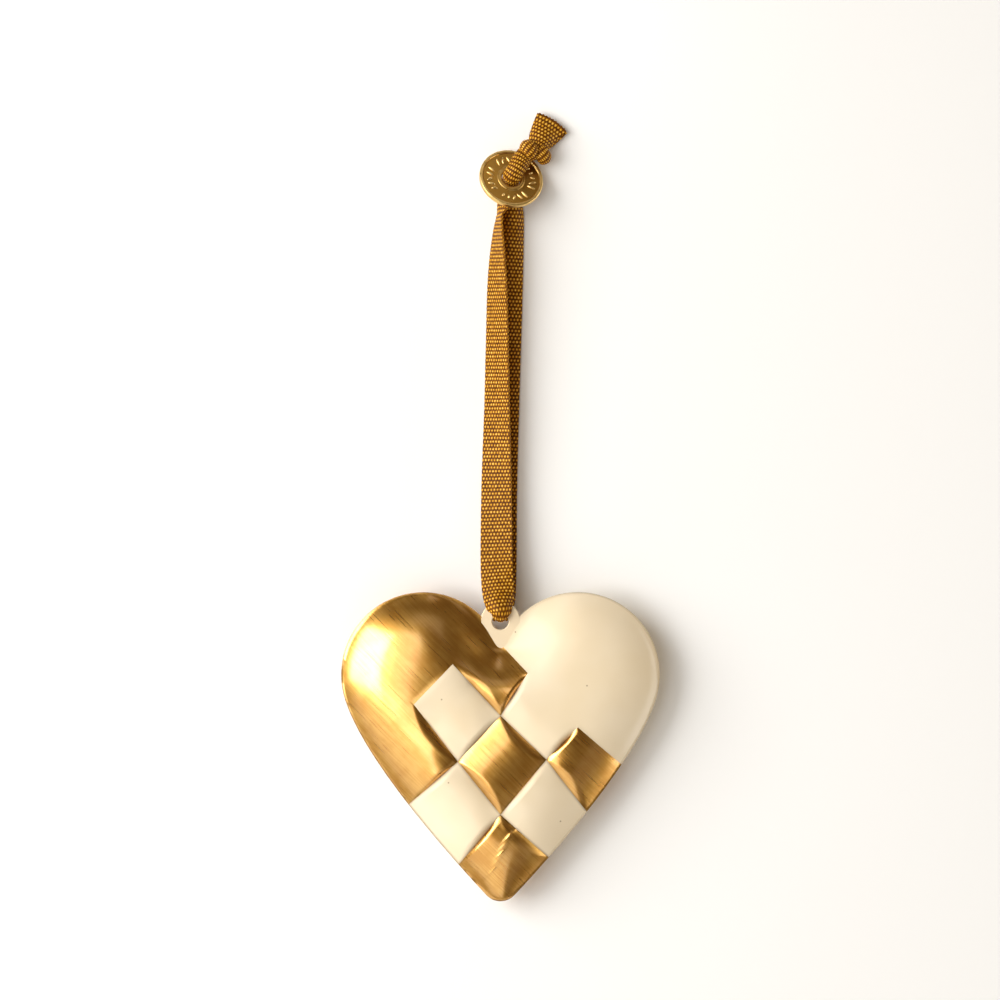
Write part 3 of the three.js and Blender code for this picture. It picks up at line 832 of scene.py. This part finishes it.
# Tab: a flat ring with rounded edges, drawn out to a point in the notch, flush with the rim
def tab_mesh():
    touch = np.arccos(TAB_RADIUS / TAB_REACH)
    angles = np.linspace(0, 2 * np.pi, TAB_SIDES, endpoint=False)
    off_root = np.abs(angles - 1.5 * np.pi)
    edge = np.where(off_root < touch, TAB_RADIUS / np.cos(touch - off_root), TAB_RADIUS)
    top = SEAM_THICK / 2 + TAB_PROUD
    low = -TAB_THICK / 2
    profile = [
        (TAB_HOLE_RADIUS, low + TAB_EASE),
        (TAB_HOLE_RADIUS, top - TAB_EASE),
        (TAB_HOLE_RADIUS + TAB_EASE, top),
        (edge - TAB_EASE, top),
        (edge, top - TAB_EASE),
        (edge, low + TAB_EASE),
        (edge - TAB_EASE, low),
        (TAB_HOLE_RADIUS + TAB_EASE, low),
    ]
    return lathe(profile, TAB_SIDES, np.array((0, TAB_Y, SEAM_Z)), np.eye(3))


# Brown dirt and painted shade in the creases and along the seam, laid over a paint's colour
def with_dirt_and_shade(tree, colour):
    groove = add(tree, "ShaderNodeAttribute", attribute_name="groove")
    share = add(tree, "ShaderNodeMath", {0: groove.outputs["Fac"], 1: DIRT_AND_SHADE_SHARE}, operation="MULTIPLY")
    mixed = add(
        tree,
        "ShaderNodeMixRGB",
        {"Fac": share.outputs["Value"], "Color1": colour, "Color2": linear("#5A3A10")},
    )
    return mixed.outputs["Color"]


def gold_paint():
    # Gold lacquer with metal flakes, brushed along the strips: broad warm reflections that burn out to white,
    # fine streaks that follow the brush, and brown dirt with painted shade in the creases and along the seam
    material, tree, shader = new_material("brushed_gold_lacquer")
    place = add(tree, "ShaderNodeTexCoord")
    brushed = add(
        tree,
        "ShaderNodeMapping",
        {
            "Vector": place.outputs["Object"],
            "Rotation": (0, 0, np.radians(BRUSH_TURN_DEG)),
            "Scale": (BRUSH_LENGTH * MM, BRUSH_WIDTH * MM, BRUSH_LENGTH * MM),
        },
        vector_type="TEXTURE",
    )
    streaks = add(
        tree,
        "ShaderNodeTexNoise",
        {"Vector": brushed.outputs["Vector"], "Scale": 1.0, "Detail": 2.0},
    )
    clouds = add(
        tree,
        "ShaderNodeTexNoise",
        {"Vector": place.outputs["Object"], "Scale": 1 / (CLOUD_SIZE * MM), "Detail": 3.0},
    )
    tone = add(
        tree,
        "ShaderNodeMath",
        {0: clouds.outputs["Fac"], 1: streaks.outputs["Fac"]},
        operation="MULTIPLY",
    )
    ramp = add(
        tree,
        "ShaderNodeValToRGB",
        {"Fac": tone.outputs["Value"]},
        stops=[(0.15, "#E2A240"), (0.36, "#F4BC5C")],
    )
    gloss = add(
        tree,
        "ShaderNodeMapRange",
        {
            "Value": streaks.outputs["Fac"],
            "From Min": NOISE_LOW,
            "From Max": NOISE_HIGH,
            "To Min": GOLD_GLOSS[0],
            "To Max": GOLD_GLOSS[1],
        },
    )
    bump = add(
        tree,
        "ShaderNodeBump",
        {"Height": streaks.outputs["Fac"], "Strength": BRUSH_STRENGTH, "Distance": BRUSH_DEPTH * MM},
    )
    tree.links.new(with_dirt_and_shade(tree, ramp.outputs["Color"]), shader.inputs["Base Color"])
    tree.links.new(gloss.outputs["Result"], shader.inputs["Roughness"])
    tree.links.new(bump.outputs["Normal"], shader.inputs["Normal"])
    shader.inputs["Metallic"].default_value = 1.0
    shader.inputs["Coat Weight"].default_value = 1.0
    shader.inputs["Coat Roughness"].default_value = 0.18
    shader.inputs["Coat IOR"].default_value = 1.75
    return material


def cream_enamel():
    # Cream enamel sprayed on metal: smooth and glossy, a little uneven in tone, with a few brown specks in it
    material, tree, shader = new_material("cream_enamel")
    place = add(tree, "ShaderNodeTexCoord")
    clouds = add(
        tree,
        "ShaderNodeTexNoise",
        {"Vector": place.outputs["Object"], "Scale": 1 / (TONE_SIZE * MM), "Detail": 2.0},
    )
    ramp = add(
        tree,
        "ShaderNodeValToRGB",
        {"Fac": clouds.outputs["Fac"]},
        stops=[(NOISE_LOW, "#E7D4B2"), (NOISE_HIGH, "#EBDABC")],
    )
    specks = add(
        tree,
        "ShaderNodeTexVoronoi",
        {"Vector": place.outputs["Object"], "Scale": 1 / (SPECK_SPACING * MM)},
        voronoi_dimensions="2D",
    )
    speck = add(
        tree,
        "ShaderNodeMapRange",
        {
            "Value": specks.outputs["Distance"],
            "From Min": SPECK_RADIUS / SPECK_SPACING,
            "From Max": 2 * SPECK_RADIUS / SPECK_SPACING,
            "To Min": SPECK_SHARE,
            "To Max": 0,
        },
    )
    speckled = add(
        tree,
        "ShaderNodeMixRGB",
        {"Fac": speck.outputs["Result"], "Color1": ramp.outputs["Color"], "Color2": linear("#6B4A20")},
    )
    peel = add(
        tree,
        "ShaderNodeTexNoise",
        {"Vector": place.outputs["Object"], "Scale": 1 / (PEEL_SIZE * MM), "Detail": 1.0},
    )
    bump = add(
        tree,
        "ShaderNodeBump",
        {"Height": peel.outputs["Fac"], "Strength": PEEL_STRENGTH, "Distance": PEEL_DEPTH * MM},
    )
    # Brown dirt and painted shade darken the creases and the seam
    tree.links.new(with_dirt_and_shade(tree, speckled.outputs["Color"]), shader.inputs["Base Color"])
    tree.links.new(bump.outputs["Normal"], shader.inputs["Normal"])
    shader.inputs["Roughness"].default_value = 0.16
    shader.inputs["Specular IOR Level"].default_value = 0.18
    return material


# Heart: front and back shell raised from one plan, joined by a rounded rim with the seam in it, and the tab
def make_heart():
    plan, strips, plan_faces, face_strips = heart_plan()
    count = len(plan)
    dome = dome_share(plan)
    sunk = 1 - weave_share(plan, strips)
    front = SEAM_Z + SEAM_THICK / 2 + dome * (FRONT_DOME - sunk * FRONT_WEAVE) + fold_height(plan)
    back = np.maximum(0, SEAM_Z - SEAM_THICK / 2 - dome * (BACK_DOME - sunk * BACK_WEAVE))
    vertices = [*np.column_stack((plan, front)), *np.column_stack((plan, back))]
    faces = [*plan_faces, *[[n + count for n in loop[::-1]] for loop in plan_faces]]
    paints = [*face_strips, *face_strips]
    ahead = border_loop(plan_faces)
    behind = {b: a for a, b in ahead.items()}
    levels = {n: [n] for n in ahead}
    for n, after in ahead.items():
        way = plan[after] - plan[behind[n]]
        outward = np.array((way[1], -way[0])) / np.linalg.norm(way)
        for out, rise in RIM_PROFILE:
            levels[n].append(len(vertices))
            vertices.append((*(plan[n] + out * outward), SEAM_Z + rise * SEAM_THICK))
        levels[n].append(n + count)
    for a, b in ahead.items():
        for level in range(len(RIM_PROFILE) + 1):
            faces.append([levels[b][level], levels[a][level], levels[a][level + 1], levels[b][level + 1]])
            paints.append(strips[a])
    ring, ring_faces = tab_mesh()
    start = len(vertices)
    vertices.extend(ring)
    faces.extend([[start + n for n in face] for face in ring_faces])
    paints.extend([LIGHT] * len(ring_faces))
    piece = new_piece("heart_shells", vertices, faces, [gold_paint(), cream_enamel()])
    piece.data.polygons.foreach_set("material_index", np.array(paints, np.int32))
    piece.data.set_sharp_from_angle(angle=np.radians(HEART_SHARP_DEG))
    # Share of brown dirt and painted shade at each point, for both paints
    store(piece, "groove", dirt_and_shade_share(np.array(vertices)[:, :2]))
    return piece


heart = make_heart()


def stamped_brass():
    # Stamped brass, aged brown: bright where it is rubbed on the strokes and the rim, dull on the boss,
    # and dark in the sunk field
    material, tree, shader = new_material("stamped_brass")
    place = add(tree, "ShaderNodeTexCoord")
    worn = add(tree, "ShaderNodeAttribute", attribute_name="worn")
    patina = add(
        tree,
        "ShaderNodeTexNoise",
        {"Vector": place.outputs["Object"], "Scale": 1 / (PATINA_SIZE * MM), "Detail": 4.0},
    )
    shift = add(
        tree,
        "ShaderNodeMapRange",
        {
            "Value": patina.outputs["Fac"],
            "From Min": NOISE_LOW,
            "From Max": NOISE_HIGH,
            "To Min": -PATINA_SHIFT,
            "To Max": PATINA_SHIFT,
        },
    )
    shown = add(
        tree,
        "ShaderNodeMath",
        {0: worn.outputs["Fac"], 1: shift.outputs["Result"]},
        operation="ADD",
    )
    ramp = add(
        tree,
        "ShaderNodeValToRGB",
        {"Fac": shown.outputs["Value"]},
        stops=[(0.1, "#B2843A"), (0.9, "#F0CE84")],
    )
    gloss = add(
        tree,
        "ShaderNodeMapRange",
        {
            "Value": patina.outputs["Fac"],
            "From Min": NOISE_LOW,
            "From Max": NOISE_HIGH,
            "To Min": BRASS_GLOSS[0],
            "To Max": BRASS_GLOSS[1],
        },
    )
    tree.links.new(ramp.outputs["Color"], shader.inputs["Base Color"])
    tree.links.new(gloss.outputs["Result"], shader.inputs["Roughness"])
    shader.inputs["Metallic"].default_value = 1.0
    return material


# Rounded edge as steps of radius and height, over a range of angles measured from straight up
def rounded_edge(radius, height, ease, turns):
    angles = np.radians(np.linspace(*turns, ROUND_STEPS))
    return [(radius + ease * np.sin(angle), height + ease * np.cos(angle)) for angle in angles]


# Half section of the disc: hole, low boss, sunk field, raised rim and flat underside
def disc_profile():
    field = DISC_HALF - DISC_FIELD_DEPTH
    rim = DISC_HALF + DISC_RIM_HEIGHT
    return [
        (DISC_HOLE_RADIUS, DISC_EASE - DISC_HALF),
        *rounded_edge(DISC_HOLE_RADIUS + DISC_EASE, DISC_HALF - DISC_EASE, DISC_EASE, (-90, 0)),
        *rounded_edge(DISC_BOSS_RADIUS - 2 * DISC_EASE, DISC_HALF - DISC_EASE, DISC_EASE, BOSS_EDGE_DEG),
        (DISC_BOSS_RADIUS, field),
        (DISC_RADIUS - DISC_RIM_WIDTH, field),
        *rounded_edge(DISC_RADIUS - 2 * DISC_EASE, rim - DISC_EASE, DISC_EASE, RIM_SHOULDER_DEG),
        *rounded_edge(DISC_RADIUS - DISC_EASE, rim - DISC_EASE, DISC_EASE, (0, 90)),
        *rounded_edge(DISC_RADIUS - DISC_EASE, DISC_EASE - DISC_HALF, DISC_EASE, (90, 180)),
        (DISC_HOLE_RADIUS + DISC_EASE, -DISC_HALF),
    ]


# Raised stroke: a low rounded bar, sunk a little into the field that it stands on
def stroke_mesh(centre, way, aside, out, length):
    points = [centre + STROKE_HEIGHT * out]
    for level in np.radians(STROKE_LEVELS_DEG):
        for turn in np.linspace(0, 2 * np.pi, STROKE_SIDES, endpoint=False):
            flat = length / 2 * np.cos(turn) * way + STROKE_WIDTH / 2 * np.sin(turn) * aside
            points.append(centre + np.cos(level) * flat + STROKE_HEIGHT * np.sin(level) * out)
    faces = []
    for n in range(STROKE_SIDES):
        here = 1 + n
        ahead = 1 + (n + 1) % STROKE_SIDES
        faces.append((0, here, ahead))
        for ring in range(len(STROKE_LEVELS_DEG) - 1):
            start = STROKE_SIDES * ring
            below = start + STROKE_SIDES
            faces.append((start + here, below + here, below + ahead, start + ahead))
    faces.append(tuple(range(len(points) - 1, len(points) - 1 - STROKE_SIDES, -1)))
    return points, faces


# Disc: the turned plate and its ring of strokes, whose lengths and slants vary
def make_disc():
    axes = np.array((DISC_ACROSS, -DISC_UPHILL, DISC_NORMAL))
    profile = disc_profile()
    plate, faces = lathe(profile, DISC_SIDES, DISC_CENTRE, axes)
    field = DISC_HALF - DISC_FIELD_DEPTH
    inner_rim = DISC_RADIUS - DISC_RIM_WIDTH
    rubbed = [0 if z == field else RIM_WORN if r > inner_rim else BOSS_WORN for r, z in profile]
    worn = rubbed * DISC_SIDES
    vertices = list(plate)
    middle = (DISC_BOSS_RADIUS + DISC_RADIUS - DISC_RIM_WIDTH) / 2
    for n in range(STROKE_PLACES):
        if n % STROKE_GROUP == STROKE_GROUP - 1:
            continue
        turn = 2 * np.pi * n / STROKE_PLACES
        slant = turn + STROKE_SLANT * np.sin(n**2)
        way = np.cos(slant) * axes[0] + np.sin(slant) * axes[1]
        aside = np.cross(axes[2], way)
        centre = DISC_CENTRE + middle * (np.cos(turn) * axes[0] + np.sin(turn) * axes[1]) + field * axes[2]
        length = STROKE_LENGTH * (1 - (1 - STROKE_SHORTEST) * (1 - np.cos(n**2)) / 2)
        points, stroke_faces = stroke_mesh(centre, way, aside, axes[2], length)
        start = len(vertices)
        vertices.extend(points)
        worn.extend([1.0] * len(points))
        faces.extend([tuple(start + k for k in face) for face in stroke_faces])
    piece = new_piece("disc_plate", vertices, faces, [stamped_brass()])
    piece.data.set_sharp_from_angle(angle=np.radians(DISC_SHARP_DEG))
    store(piece, "worn", worn)
    return piece


disc = make_disc()

for piece, node, slot in (
    (heart, "heart", "heart_paint"),
    (front_strand, "ribbon", "ribbon_cloth"),
    (back_strand, "ribbon", "ribbon_cloth"),
    (knot, "ribbon", "ribbon_cloth"),
    (lump, "ribbon", "ribbon_cloth"),
    (disc, "disc", "disc_brass"),
):
    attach(piece, "root")
    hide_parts(node)

# Lights: name, place, the place that each faces, width, height and power
HEART_PLACE = (0, 0, 0)
LIGHTS = [
    ("key_softbox", (-783, 239, 574), HEART_PLACE, 840, 780, 13.5),
    ("upper_softbox", (-311, 95, 946), HEART_PLACE, 1000, 400, 2.2),
    ("low_card", (-406, -650, 643), HEART_PLACE, 1800, 1150, 6),
    ("right_card", (616, -555, 559), HEART_PLACE, 900, 500, 0.2),
    ("right_strip", (990, 30, 105), HEART_PLACE, 1400, 180, 4.8),
    ("far_wide_card", (150, 700, 700), HEART_PLACE, 700, 300, 0.2),
    ("far_card", (12, 166, 30), DISC_CENTRE, 30, 21, 0.0016),
]


# Floor and light
def make_floor():
    corners = [(x * FLOOR_HALF, y * FLOOR_HALF, 0) for x, y in ((-1, -1), (1, -1), (1, 1), (-1, 1))]
    material, _, shader = new_material("pale_paper_floor")
    shader.inputs["Base Color"].default_value = linear("#F4F3F0")
    shader.inputs["Roughness"].default_value = 0.9
    floor = new_piece("floor", corners, [(0, 1, 2, 3)], [material])


def make_light(name, place, target, width, height, power):
    data = bpy.data.lights.new(name, "AREA")
    data.shape = "RECTANGLE"
    data.size = width * MM
    data.size_y = height * MM
    data.energy = power
    light = bpy.data.objects.new(name, data)
    light.location = Vector(place) * MM
    aim = Vector(target) - Vector(place)
    light.rotation_euler = aim.to_track_quat("-Z", "Y").to_euler()
    bpy.context.scene.collection.objects.link(light)


def make_world():
    world = bpy.data.worlds.new("studio")
    world.use_nodes = True
    background = world.node_tree.nodes["Background"]
    background.inputs["Color"].default_value = linear("#FFD48C")
    background.inputs["Strength"].default_value = WORLD_STRENGTH
    bpy.context.scene.world = world


make_floor()
for light in LIGHTS:
    make_light(*light)
make_world()
bpy.context.scene.view_settings.view_transform = "Standard"
